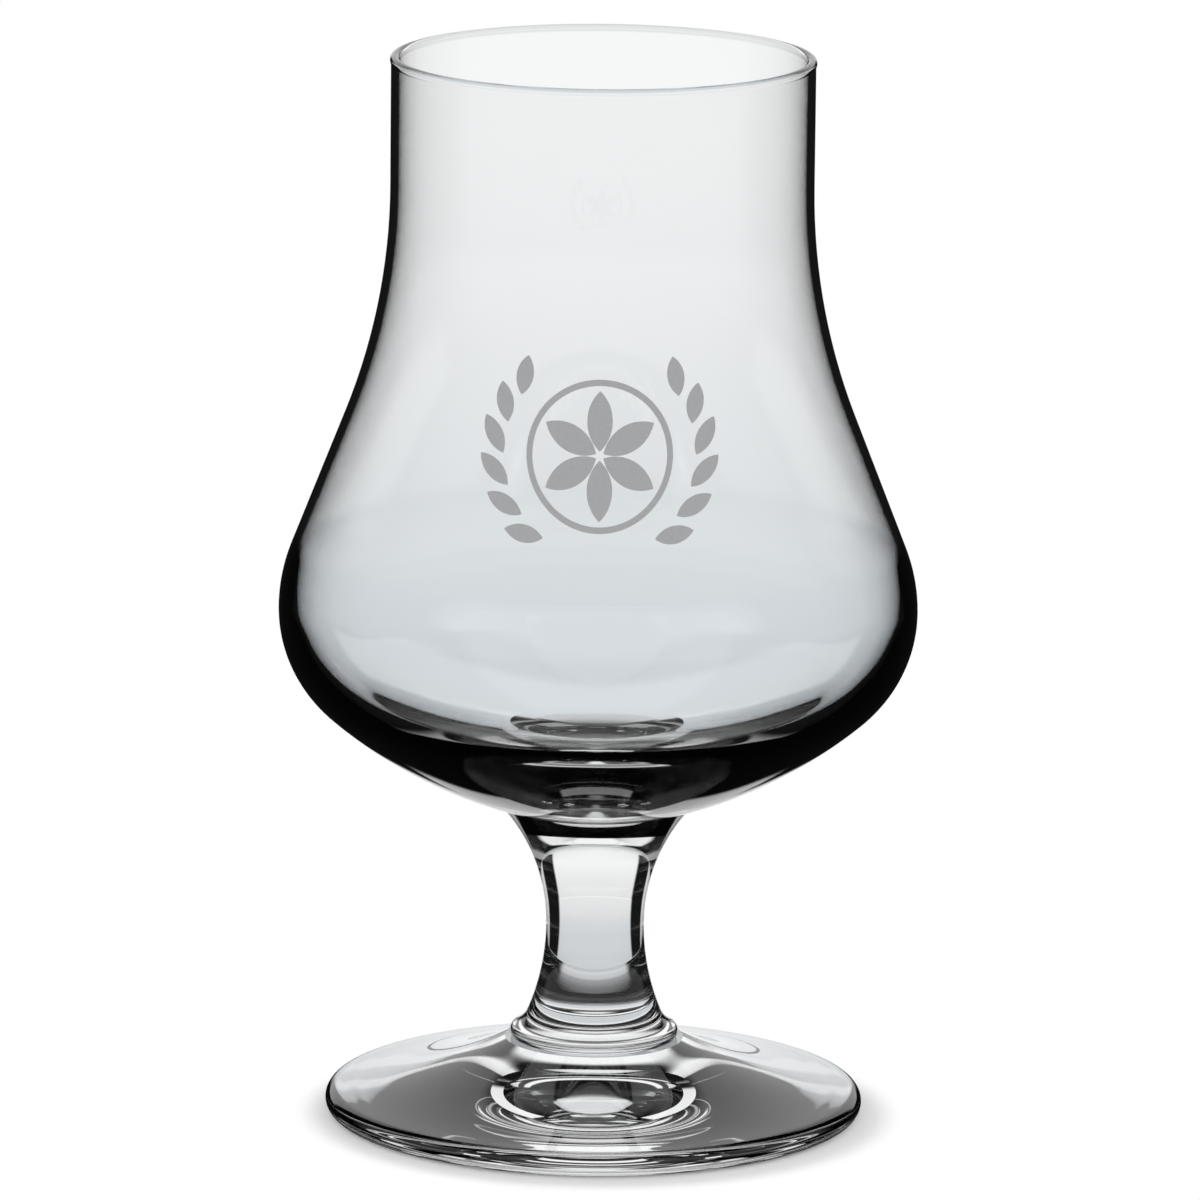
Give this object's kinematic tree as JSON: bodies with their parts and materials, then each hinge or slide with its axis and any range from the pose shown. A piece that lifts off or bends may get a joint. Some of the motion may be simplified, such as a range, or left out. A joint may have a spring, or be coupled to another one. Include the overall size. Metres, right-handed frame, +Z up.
{
  "type": "tulip glass",
  "caption": "Short-stemmed tulip glass: wide belly drawn in to a straight mouth, pressed waisted stem, round foot and a grey ornament printed on the front of the bowl.",
  "frame": {"origin": "on the axis, in the plane of the ring that the foot stands on", "axes": "+Z up along the axis, towards the mouth; -Y towards the printed ornament on the front"},
  "size_m": [0.077, 0.077, 0.1296],
  "materials": {
    "clear_glass": "clear, fire-polished",
    "print_grey": "matt fired enamel"
  },
  "bodies": {
    "root": {"bowl": "clear_glass", "stem": "clear_glass", "foot": "clear_glass", "printed_ornament": "print_grey"}
  },
  "joints": []
}
